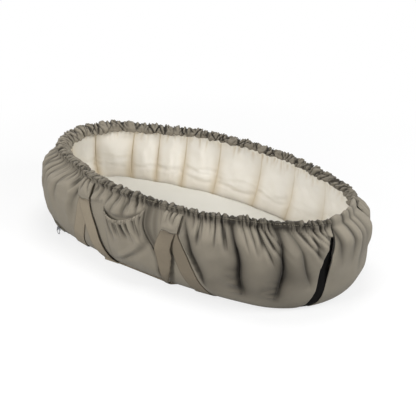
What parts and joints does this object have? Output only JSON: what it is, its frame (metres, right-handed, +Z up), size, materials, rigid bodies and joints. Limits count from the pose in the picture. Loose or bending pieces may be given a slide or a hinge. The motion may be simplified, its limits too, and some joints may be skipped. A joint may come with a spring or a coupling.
{
  "type": "infant lounger",
  "caption": "Padded oval baby nest with a channelled cream liner, a gathered outer cover, a lift-out mattress, side pocket and webbing carry handles.",
  "frame": {"origin": "bottom centre of the nest, on the floor", "axes": "+X towards the foot end with the wrap panel, +Y towards the long side without the pocket, +Z up"},
  "size_m": [0.8756, 0.469, 0.205],
  "materials": {
    "cover_cloth": "grey-green cotton twill, matt",
    "webbing": "flat woven webbing, slightly tanner than the cover",
    "black_lining": "black lining cloth, matt",
    "liner_cloth": "cream cotton, matt",
    "fitted_sheet": "off-white cotton jersey, matt",
    "foam": "soft foam core",
    "elastic": "covered elastic",
    "zip_tape": "woven zip tape",
    "zip_coil": "nylon zip coil",
    "zip_metal": "grey cast metal"
  },
  "bodies": {
    "nest": {"base_panel": "cover_cloth", "cover_near_side": "cover_cloth", "cover_far_side": "cover_cloth", "cover_head_end": "cover_cloth", "foot_wrap_panel": "cover_cloth", "rim_casing": "cover_cloth", "pocket_panel": "cover_cloth", "pocket_binding": "cover_cloth", "near_head_tab": "cover_cloth", "near_foot_tab": "cover_cloth", "far_head_tab": "cover_cloth", "far_foot_tab": "cover_cloth", "load_strap_head": "webbing", "load_strap_foot": "webbing", "foot_lining_near": "black_lining", "foot_lining_far": "black_lining", "liner_channel_01": "liner_cloth", "liner_channel_02": "liner_cloth", "liner_channel_03": "liner_cloth", "liner_channel_04": "liner_cloth", "liner_channel_05": "liner_cloth", "liner_channel_06": "liner_cloth", "liner_channel_07": "liner_cloth", "liner_channel_08": "liner_cloth", "liner_channel_09": "liner_cloth", "liner_channel_10": "liner_cloth", "liner_channel_11": "liner_cloth", "liner_channel_12": "liner_cloth", "liner_channel_13": "liner_cloth", "liner_channel_14": "liner_cloth", "liner_channel_15": "liner_cloth", "liner_channel_16": "liner_cloth", "liner_channel_17": "liner_cloth", "liner_channel_18": "liner_cloth", "liner_channel_19": "liner_cloth", "liner_channel_20": "liner_cloth", "liner_channel_21": "liner_cloth", "liner_floor_pad": "liner_cloth", "rim_elastic": "elastic", "pocket_elastic": "elastic", "zip_tape": "zip_tape", "zip_coil": "zip_coil"},
    "mattress": {"mattress_core": "foam", "mattress_cover": "fitted_sheet"},
    "near_handle": {"near_handle": "webbing"},
    "far_handle": {"far_handle": "webbing"},
    "zip_slider": {"zip_slider": "zip_metal"},
    "zip_pull": {"zip_pull_ring": "zip_metal"}
  },
  "joints": [
    {"name": "mattress_lift", "type": "slide", "parent": "nest", "child": "mattress", "axis": [0, 0, 1], "range_m": [0, 0.25]},
    {"name": "near_handle_swing", "type": "hinge", "parent": "nest", "child": "near_handle", "pos_m": [-0.174, -0.2135, 0.146], "axis": [-0.9993, 0.0366, 0], "range_deg": [0, 165]},
    {"name": "far_handle_swing", "type": "hinge", "parent": "nest", "child": "far_handle", "pos_m": [-0.174, 0.2135, 0.146], "axis": [0.9993, 0.0366, 0], "range_deg": [0, 165]},
    {"name": "zip_run", "type": "hinge", "parent": "nest", "child": "zip_slider", "pos_m": [-0.233, 0, 0.017], "axis": [0, 0, 1], "range_deg": [-144, 4]},
    {"name": "zip_pull_swing", "type": "hinge", "parent": "zip_slider", "child": "zip_pull", "pos_m": [-0.29856, -0.18013, 0.0162], "axis": [-0.9397, 0.342, 0], "range_deg": [0, 110]}
  ]
}
